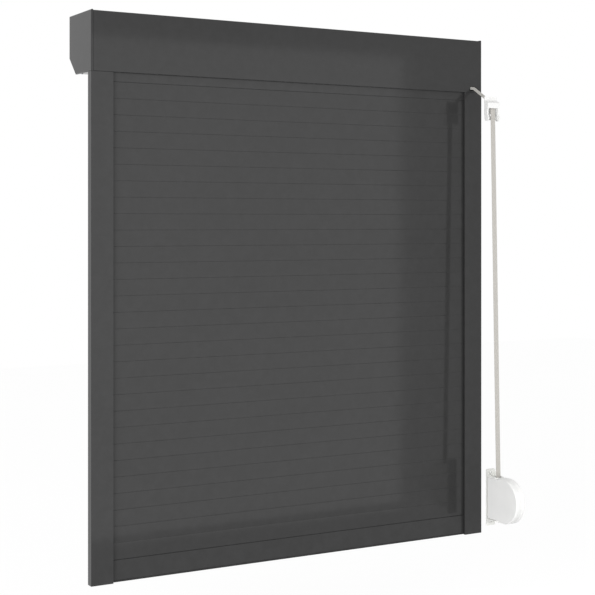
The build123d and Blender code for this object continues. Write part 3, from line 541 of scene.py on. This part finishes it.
# each part's rounding in millimetres, segments and slot; the end slat's shoulder is also lowered,
# because the gap above it is the widest
roundings = {
    "box_shell": (0.7, 3, "shutter_coat"),
    "inspection_cover": (0.7, 3, "shutter_coat"),
    "end_cap_left": (0.8, 3, "shutter_coat"),
    "end_cap_right": (0.8, 3, "shutter_coat"),
    "guide_rail_left": (0.35, 2, "shutter_coat"),
    "guide_rail_right": (0.35, 2, "shutter_coat"),
    "end_slat": (0.35, 3, "shutter_coat", ((45.5, 46.1, -1.5),)),
    "top_slats": (0.15, 2, "shutter_coat"),
    "bottom_seal": (0.5, 3, "black_rubber"),
    "stop_buffers": (0.8, 3, "black_rubber"),
    "inlet_funnels": (0.3, 2, "black_plastic"),
    "outlet_frame": (0.25, 2, "black_plastic"),
    "strap_disc": (0.4, 2, "black_plastic"),
    "axle_tube": (0.4, 2, "zinc_steel"),
    "tube_plugs": (0.4, 2, "zinc_steel"),
    "curtain_hangers": (0.15, 2, "spring_steel"),
    "guide_housing": (0.45, 3, "white_plastic"),
    "winder_shell_left": (0.5, 3, "white_plastic"),
    "winder_shell_right": (0.5, 3, "white_plastic"),
    "winder_drum": (0.3, 2, "white_plastic"),
    "winder_bracket": (0.4, 3, "white_coat"),
    "outlet_roller": (0.25, 2, "roller_plastic"),
    "guide_roller": (0.25, 2, "roller_plastic"),
}
millimetre = 0.001
weldDistance = 1e-6
flatAngle = math.radians(0.6)
sharpAngle = math.radians(32)


def finishPiece(name, bm, slot, body=None):
    mesh = bpy.data.meshes.new(name)
    bm.to_mesh(mesh)
    bm.free()
    for face in mesh.polygons:
        face.use_smooth = True
    mesh.set_sharp_from_angle(angle=sharpAngle)
    mesh.materials.append(looks[slotLooks[slot]])
    piece = bpy.data.objects.new(name, mesh)
    scene.collection.objects.link(piece)
    crease = piece.modifiers.new("flatFaces", "WEIGHTED_NORMAL")
    crease.keep_sharp = True
    if body:
        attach(piece, body)
    return piece


# Copy of a part's own solid in its place, with its sharp edges rounded; each move gives two heights
# above its foot and how far the points between them rise, in millimetres
def roundedCopy(nodeName, size, segments, slot, moves=()):
    source = nodes[nodeName]
    bm = bmesh.new()
    bm.from_mesh(source.data)
    bmesh.ops.remove_doubles(bm, verts=bm.verts, dist=weldDistance)
    bmesh.ops.dissolve_limit(bm, angle_limit=flatAngle, verts=bm.verts, edges=bm.edges)
    share = bm.verts.layers.float.new("edgeShare")
    foot = min(v.co.z for v in bm.verts)
    for low, high, shift in moves:
        band = [v for v in bm.verts if low < (v.co.z - foot) / millimetre < high]
        bmesh.ops.translate(bm, vec=(0, 0, shift * millimetre), verts=band)
    sharp = [e for e in bm.edges if len(e.link_faces) == 2 and e.calc_face_angle() > sharpAngle]
    made = bmesh.ops.bevel(
        bm, geom=sharp, offset=size * millimetre, offset_type="OFFSET", segments=segments,
        profile=0.5, affect="EDGES", clamp_overlap=True, material=-1, loop_slide=True,
    )
    rounded = set(made["faces"])
    for vert in bm.verts:
        near = [face in rounded for face in vert.link_faces]
        vert[share] = sum(near) / max(1, len(near))
    piece = finishPiece(nodeName + "_finish", bm, slot, source["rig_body"])
    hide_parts(nodeName)
    return piece


for partName, rounding in roundings.items():
    roundedCopy(partName, *rounding)
print("rounded copies ready:", len(roundings))

# Curtain

# the moves narrow the gaps between the slats and slope their edges
curtain = {
    "lift": 1.0973, "anchor": 1.245, "rounding": 0.15, "segments": 2,
    "moves": ((-0.1, 0.1, -0.22), (0.3, 0.4, 0.55), (36.3, 36.4, -0.55)),
}


def makeCurtain():
    rounding = (curtain["rounding"], curtain["segments"], "shutter_coat", curtain["moves"])
    slats = [roundedCopy(name, *rounding) for name in sorted(nodes) if name.startswith("slat_")]
    slats.append(bpy.data.objects["top_slats_finish"])
    for slat in slats:
        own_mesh(slat)
    return len(slats)


print("curtain ready:", makeCurtain(), "pieces")

# Strap

# stations are the round pieces that it passes, each with the side on which it lies
strap = {
    "width": 0.014, "thickness": 0.0012, "selvedge": 0.35, "clearance": 0.0003,
    "stepAngle": 6.0, "stepLength": 0.012, "swivelY": -0.1065, "twistLow": 0.2, "twistHigh": 1.055,
    "stations": (("disc_coil", -1), ("outlet_roller", 1), ("guide_roller", 1), ("drum_coil", -1)),
}


def closedLine(bm, points):
    verts = [bm.verts.new(point) for point in points]
    return verts, [bm.edges.new((verts[i - 1], verts[i])) for i in range(len(verts))]


def vertsOf(geom):
    return [item for item in geom if isinstance(item, bmesh.types.BMVert)]


def facesOf(geom):
    return [item for item in geom if isinstance(item, bmesh.types.BMFace)]


def edgesBetween(geom, verts):
    ends = set(verts)
    edges = [item for item in geom if isinstance(item, bmesh.types.BMEdge)]
    return [edge for edge in edges if edge.verts[0] in ends and edge.verts[1] in ends]


# Rounded band section, a few vertices across and its edges thinner than its middle
def bandSection(bm, band):
    half = band["width"] / 2
    upper = []
    for share in (-1, -0.96, -0.5, 0, 0.5, 0.96, 1):
        thin = band["selvedge"] if abs(share) == 1 else 1
        upper.append((half * share, band["thickness"] / 2 * thin, 0))
    return closedLine(bm, upper + [(x, -y, z) for x, y, z in reversed(upper)])


# Path point as a matrix: x across the band, y out of its face, z along it
def pathMatrix(x, point, direction):
    along = Vector((0, direction[0], direction[1])).normalized()
    across = Vector((1, 0, 0))
    face = along.cross(across)
    turned = Matrix((across, face, along)).transposed().to_4x4()
    return Matrix.Translation((x, point[0], point[1])) @ turned


# Band swept along a path in an upright plane, with a map in metres across and along it
def sweepBand(name, x, path, slot, band):
    bm = bmesh.new()
    uv = bm.loops.layers.uv.new("bandMap")
    verts, edges = bandSection(bm, band)
    matrices = []
    for i, point in enumerate(path):
        before, after = path[max(0, i - 1)], path[min(len(path) - 1, i + 1)]
        matrices.append(pathMatrix(x, point, (after[0] - before[0], after[1] - before[1])))
    bmesh.ops.transform(bm, matrix=matrices[0], verts=verts)
    bm.faces.new(list(reversed(verts)))
    length = 0.0
    for i in range(1, len(path)):
        grown = bmesh.ops.extrude_edge_only(bm, edges=edges)["geom"]
        newVerts = vertsOf(grown)
        edges = edgesBetween(grown, newVerts)
        bmesh.ops.transform(bm, matrix=matrices[i] @ matrices[i - 1].inverted(), verts=newVerts)
        nextLength = length + math.dist(path[i - 1], path[i])
        ahead = set(newVerts)
        for face in facesOf(grown):
            for loop in face.loops:
                across = loop.vert.co.x - x + band["width"] / 2
                loop[uv].uv = (across, nextLength if loop.vert in ahead else length)
        length = nextLength
    bmesh.ops.holes_fill(bm, edges=edges, sides=len(verts))
    bmesh.ops.recalc_face_normals(bm, faces=bm.faces)
    return finishPiece(name, bm, slot), length


def roundPiece(node):
    low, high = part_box(node)
    return ((low.y + high.y) / 2, (low.z + high.z) / 2), (high.z - low.z) / 2


def middleX(node):
    low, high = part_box(node)
    return (low.x + high.x) / 2


# Straight run of the strap's middle between two round pieces, each with the side that it passes
def tangentRun(first, second):
    (fromCentre, fromRadius, fromSide), (toCentre, toRadius, toSide) = first, second
    dy, dz = toCentre[0] - fromCentre[0], toCentre[1] - fromCentre[1]
    reach = math.hypot(dy, dz)
    course = math.atan2(dz, dy) - math.asin((toSide * toRadius - fromSide * fromRadius) / reach)
    normal = (-math.sin(course), math.cos(course))
    start = [fromCentre[i] - fromSide * fromRadius * normal[i] for i in range(2)]
    end = [toCentre[i] - toSide * toRadius * normal[i] for i in range(2)]
    return start, end


def straightPoints(start, end, step):
    steps = max(1, math.ceil(math.dist(start, end) / step))
    return [[start[i] + (end[i] - start[i]) * n / steps for i in range(2)] for n in range(steps + 1)]


def arcPoints(centre, start, end, stepAngle):
    first = math.atan2(start[1] - centre[1], start[0] - centre[0])
    last = math.atan2(end[1] - centre[1], end[0] - centre[0])
    sweep = (last - first + math.pi) % math.tau - math.pi
    radius = math.dist(centre, start)
    steps = max(2, math.ceil(abs(sweep) / math.radians(stepAngle)))
    angles = [first + sweep * n / steps for n in range(1, steps)]
    return [[centre[0] + radius * math.cos(a), centre[1] + radius * math.sin(a)] for a in angles]


def makeStrap():
    offset = strap["clearance"] + strap["thickness"] / 2
    stations = []
    for node, side in strap["stations"]:
        centre, radius = roundPiece(node)
        stations.append((centre, radius + offset, side))
    path = []
    for i in range(len(stations) - 1):
        start, end = tangentRun(stations[i], stations[i + 1])
        if path:
            path += arcPoints(stations[i][0], path[-1], start, strap["stepAngle"])
        path += straightPoints(start, end, strap["stepLength"])
    middle = middleX("strap")
    piece, length = sweepBand("strap_band", middle, path, "strap_weave", strap)
    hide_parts("strap")
    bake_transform(piece)
    return length


print("strap ready, length", round(makeStrap(), 4))

coils = {
    "strap_on_disc": {"node": "disc_coil", "inner": 0.0308, "body": "axle", "start": -20.0},
    "strap_on_drum": {"node": "drum_coil", "inner": 0.0248, "body": "drum", "start": 160.0},
}
coilPitch = strap["thickness"] * 1.02
coilStep = 7.5


# Flat spiral that starts at the inner radius and widens by the pitch with each turn
def spiralPoints(centre, inner, pitch, turns, stepAngle, start=0.0):
    points = []
    for n in range(int(turns * 360 / stepAngle) + 1):
        angle = math.radians(start + n * stepAngle)
        radius = inner + pitch * n * stepAngle / 360
        points.append((centre[0] + radius * math.cos(angle), centre[1] + radius * math.sin(angle)))
    return points


# Wound layers of the strap, each one on the last
def makeCoils():
    for name, coil in coils.items():
        centre, outer = roundPiece(coil["node"])
        turns = (outer - strap["thickness"] / 2 - coil["inner"]) / coilPitch
        path = spiralPoints(centre, coil["inner"], coilPitch, turns, coilStep, coil["start"])
        piece = sweepBand(name, middleX(coil["node"]), path, "strap_weave", strap)[0]
        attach(piece, coil["body"])
        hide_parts(coil["node"])


makeCoils()
print("wound strap ready")

# Clock spring in the winder

spring = {
    "inner": 0.0057, "pitch": 0.0028, "turns": 5, "thickness": 0.0006, "selvedge": 0.6, "stepAngle": 7.5,
}


def makeSpring():
    centre = roundPiece("drum_coil")[0]
    low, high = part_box("drum_spring")
    inner = spring["inner"] + spring["thickness"] / 2
    path = spiralPoints(centre, inner, spring["pitch"], spring["turns"], spring["stepAngle"])
    band = dict(spring, width=high.x - low.x)
    piece = sweepBand("clock_spring", middleX("drum_spring"), path, "spring_steel", band)[0]
    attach(piece, "winder")
    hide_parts("drum_spring")


makeSpring()
print("clock spring ready")

# Brush strips

# each strip's two tufts are doubled along it, and their tips lean by chance
brushes = {
    "footWidth": 0.0048, "footDepth": 0.001, "footRound": 0.0002, "rearReach": 0.0025,
    "frontReach": 0.0015, "doublings": 9, "row": 0.00045, "sides": 5, "thick": 0.00042,
    "thin": 0.00022, "lean": 0.0002, "seed": 11,
}


# Edges or faces that meet the vertices, each once
def linksOf(verts, kind):
    return list(dict.fromkeys(link for vert in verts for link in getattr(vert, kind)))


# One strip: a foot in the rail's groove and two rows of bristles on it that point along side
def brushStrip(bm, x, footFace, side, reach, low, high):
    foot = Matrix.Translation((x, footFace - side * brushes["footDepth"] / 2, (low + high) / 2))
    size = Matrix.Diagonal((brushes["footWidth"], brushes["footDepth"], high - low, 1))
    block = bmesh.ops.create_cube(bm, size=1, matrix=foot @ size)["verts"]
    bmesh.ops.bevel(
        bm, geom=linksOf(block, "link_edges"), offset=brushes["footRound"], segments=2, profile=0.5,
        affect="EDGES", material=-1,
    )
    pitch = (high - low) / 2 ** brushes["doublings"]
    upright = Matrix.Rotation(math.radians(-90 * side), 4, "X")
    verts = []
    for way in (-1, 1):
        place = (x + way * brushes["row"], footFace + side * reach / 2, low + (0.5 + 0.25 * way) * pitch)
        verts += bmesh.ops.create_cone(
            bm, segments=brushes["sides"], cap_ends=True, radius1=brushes["thick"],
            radius2=brushes["thin"], depth=reach, matrix=Matrix.Translation(place) @ upright,
        )["verts"]
    row = verts + linksOf(verts, "link_edges") + linksOf(verts, "link_faces")
    for doubling in range(brushes["doublings"]):
        copies = bmesh.ops.duplicate(bm, geom=row)["geom"]
        bmesh.ops.translate(bm, vec=(0, 0, pitch * 2 ** doubling), verts=vertsOf(copies))
        row += copies
    tufts = 2 ** (brushes["doublings"] + 1)
    leans = [random.uniform(-1, 1) * brushes["lean"] for n in range(tufts + 2)]
    for vert in vertsOf(row):
        if side * (vert.co.y - footFace) > reach / 2:
            tuft = int(2 * (vert.co.z - low) / pitch)
            vert.co.x += leans[tuft]
            vert.co.z += leans[tuft + 1]


def makeBrushes():
    random.seed(brushes["seed"])
    low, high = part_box("brush_seals")
    bm = bmesh.new()
    middle = high.x - brushes["footWidth"] / 2
    for x in (-middle, middle):
        brushStrip(bm, x, low.y + brushes["footDepth"], 1, brushes["rearReach"], low.z, high.z)
        brushStrip(bm, x, high.y - brushes["footDepth"], -1, brushes["frontReach"], low.z, high.z)
    piece = finishPiece("brush_strips", bm, "bristle", "frame")
    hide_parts("brush_seals")


makeBrushes()
print("brush strips ready")

# Ball bearings

bearing = {
    "width": 0.008, "bore": 0.00605, "ring": 0.0022, "track": 0.0007, "trackHalf": 0.0014,
    "edge": 0.0004, "balls": 9, "ballRadius": 0.0019, "ballSegments": 16, "ballRings": 10,
    "cage": 0.0003, "cageHalf": 0.0022, "steps": 48,
}


def rectangle(left, right, low, high):
    return [(left, low), (right, low), (right, high), (left, high)]


# Ring turned about the axle from its closed outline of (x, radius) points
def turnedRing(bm, outline, centre):
    verts, edges = closedLine(bm, [(x, centre[0], centre[1] + radius) for x, radius in outline])
    bmesh.ops.spin(
        bm, geom=verts + edges, cent=(0, centre[0], centre[1]), axis=(1, 0, 0), angle=math.tau,
        steps=bearing["steps"], use_merge=True,
    )


# Section of a bearing's ring with the track that the balls run in
def ringOutline(low, high, smooth, tracked, way):
    middle = (low + high) / 2
    edge, half = bearing["edge"], bearing["trackHalf"]
    return [
        (low, smooth + way * edge), (low + edge, smooth), (high - edge, smooth),
        (high, smooth + way * edge), (high, tracked), (middle + half, tracked),
        (middle, tracked - way * bearing["track"]), (middle - half, tracked), (low, tracked),
    ]


def makeBearings():
    low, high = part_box("ball_bearings")
    centre, outer = roundPiece("ball_bearings")
    bore, ring, cage, half = (bearing[key] for key in ("bore", "ring", "cage", "cageHalf"))
    pitch = (outer + bore) / 2
    bm = bmesh.new()
    for start in (low.x, high.x - bearing["width"]):
        end = start + bearing["width"]
        middle = (start + end) / 2
        turnedRing(bm, ringOutline(start, end, outer, outer - ring, -1), centre)
        turnedRing(bm, ringOutline(start, end, bore, bore + ring, 1), centre)
        turnedRing(bm, rectangle(middle - half, middle + half, pitch - cage, pitch + cage), centre)
        for n in range(bearing["balls"]):
            angle = math.tau * n / bearing["balls"]
            place = (middle, centre[0] + pitch * math.cos(angle), centre[1] + pitch * math.sin(angle))
            bmesh.ops.create_uvsphere(
                bm, u_segments=bearing["ballSegments"], v_segments=bearing["ballRings"],
                radius=bearing["ballRadius"], matrix=Matrix.Translation(place),
            )
    bmesh.ops.remove_doubles(bm, verts=bm.verts, dist=weldDistance)
    bmesh.ops.recalc_face_normals(bm, faces=bm.faces)
    piece = finishPiece("bearing_rings", bm, "zinc_steel", "frame")
    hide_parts("ball_bearings")


makeBearings()
print("ball bearings ready")

# Screws of the cover and of the winder

# each place has the turn of the cross in degrees
screwSets = {
    "cover_screw": {
        "body": "frame", "facing": (0, 0, -1), "places": (
            ((-0.529, 0.040, 1.1466), 12), ((-0.529, 0.085, 1.1466), 50),
            ((0.529, 0.040, 1.1466), 31), ((0.529, 0.085, 1.1466), 74),
        ),
    },
    "winder_screw": {
        "body": "winder", "facing": (1, 0, 0), "places": (
            ((0.5255, -0.0895, 0.064), 20), ((0.5255, -0.0895, 0.1536), 63),
            ((0.5255, -0.141, 0.1088), 5),
        ),
    },
}
screwHead = {
    "radius": 0.0029, "height": 0.00135, "seat": 0.0005, "dome": 0.0009, "domeSegments": 4, "steps": 28,
    "slotHalf": 0.00042, "slotReach": 0.0017, "slotDepth": 0.001, "slotTaper": 0.6,
}


def makeScrew(name, place, turn, facing, body):
    bm = bmesh.new()
    steps, height = screwHead["steps"], screwHead["height"]
    half, reach = screwHead["slotHalf"], screwHead["slotReach"]
    rim = bmesh.ops.create_circle(
        bm, segments=steps, radius=screwHead["radius"], matrix=Matrix.Translation((0, 0, height)),
    )["verts"]
    rimEdges = list(bm.edges)
    arm = [Vector((reach, -half, height)), Vector((reach, half, height)), Vector((half, half, height))]
    corners = []
    for quarter in range(4):
        corners += [Matrix.Rotation(math.radians(90 * quarter), 3, "Z") @ corner for corner in arm]
    slot, slotEdges = closedLine(bm, corners)
    bmesh.ops.triangle_fill(bm, use_beauty=True, edges=rimEdges + slotEdges, normal=(0, 0, 1))
    sunk = vertsOf(bmesh.ops.extrude_edge_only(bm, edges=slotEdges)["geom"])
    bmesh.ops.translate(bm, vec=(0, 0, -screwHead["slotDepth"]), verts=sunk)
    bmesh.ops.scale(bm, vec=(screwHead["slotTaper"], screwHead["slotTaper"], 1), verts=sunk)
    bmesh.ops.holes_fill(bm, edges=edgesBetween(bm.edges, sunk), sides=len(slot))
    foot = vertsOf(bmesh.ops.extrude_edge_only(bm, edges=rimEdges)["geom"])
    bmesh.ops.translate(bm, vec=(0, 0, -height - screwHead["seat"]), verts=foot)
    bmesh.ops.holes_fill(bm, edges=edgesBetween(bm.edges, foot), sides=steps)
    bmesh.ops.bevel(
        bm, geom=edgesBetween(bm.edges, rim), offset=screwHead["dome"],
        segments=screwHead["domeSegments"], profile=0.5, affect="EDGES", clamp_overlap=True, material=-1,
    )
    bmesh.ops.recalc_face_normals(bm, faces=bm.faces)
    turned = Vector(facing).to_track_quat("Z", "Y").to_matrix().to_4x4()
    spun = Matrix.Rotation(math.radians(turn), 4, "Z")
    bmesh.ops.transform(bm, matrix=Matrix.Translation(place) @ turned @ spun, verts=bm.verts)
    finishPiece(name, bm, "zinc_steel", body)


for setName, screws in screwSets.items():
    for number, (place, turn) in enumerate(screws["places"], start=1):
        makeScrew(f"{setName}_{number}", place, turn, screws["facing"], screws["body"])
print("screws of cover and winder ready")

# Black bush in the winder's inlet around the strap: painted shade, a dark lining put where the opening
# only lies in shade

shadeBush = {
    "place": (0.512, -0.1065, 0.1642), "outer": 0.00815, "inner": 0.00765, "depth": 0.0052,
    "plateDrop": 0.0012, "plate": 0.0008, "slotHalf": (0.0073, 0.0012), "steps": 48,
}


def makeShadeBush():
    bm = bmesh.new()
    x, y, top = shadeBush["place"]
    outer, inner, steps = shadeBush["outer"], shadeBush["inner"], shadeBush["steps"]
    outline = [(x + radius, y, z) for radius, z in rectangle(outer, inner, top, top - shadeBush["depth"])]
    verts, edges = closedLine(bm, outline)
    bmesh.ops.spin(
        bm, geom=verts + edges, cent=(x, y, 0), axis=(0, 0, 1), angle=math.tau, steps=steps,
        use_merge=True,
    )
    # plate across the ring with the slot that the strap goes through, black as painted shade in the
    # opening
    plateTop = top - shadeBush["plateDrop"]
    rim = bmesh.ops.create_circle(
        bm, segments=steps, radius=(inner + outer) / 2, matrix=Matrix.Translation((x, y, plateTop)),
    )["verts"]
    halfX, halfY = shadeBush["slotHalf"]
    corners = rectangle(x - halfX, x + halfX, y - halfY, y + halfY)
    slotEdges = closedLine(bm, [(cornerX, cornerY, plateTop) for cornerX, cornerY in corners])[1]
    edges = linksOf(rim, "link_edges") + slotEdges
    made = bmesh.ops.triangle_fill(bm, use_beauty=True, edges=edges, normal=(0, 0, 1))["geom"]
    grown = bmesh.ops.extrude_face_region(bm, geom=facesOf(made), use_keep_orig=True)["geom"]
    bmesh.ops.translate(bm, vec=(0, 0, -shadeBush["plate"]), verts=vertsOf(grown))
    bmesh.ops.recalc_face_normals(bm, faces=bm.faces)
    # the black finish paints the shade inside the winder's inlet around the strap
    finishPiece("strap_shade_bush", bm, "black_plastic", "winder")


makeShadeBush()
print("strap bush ready")
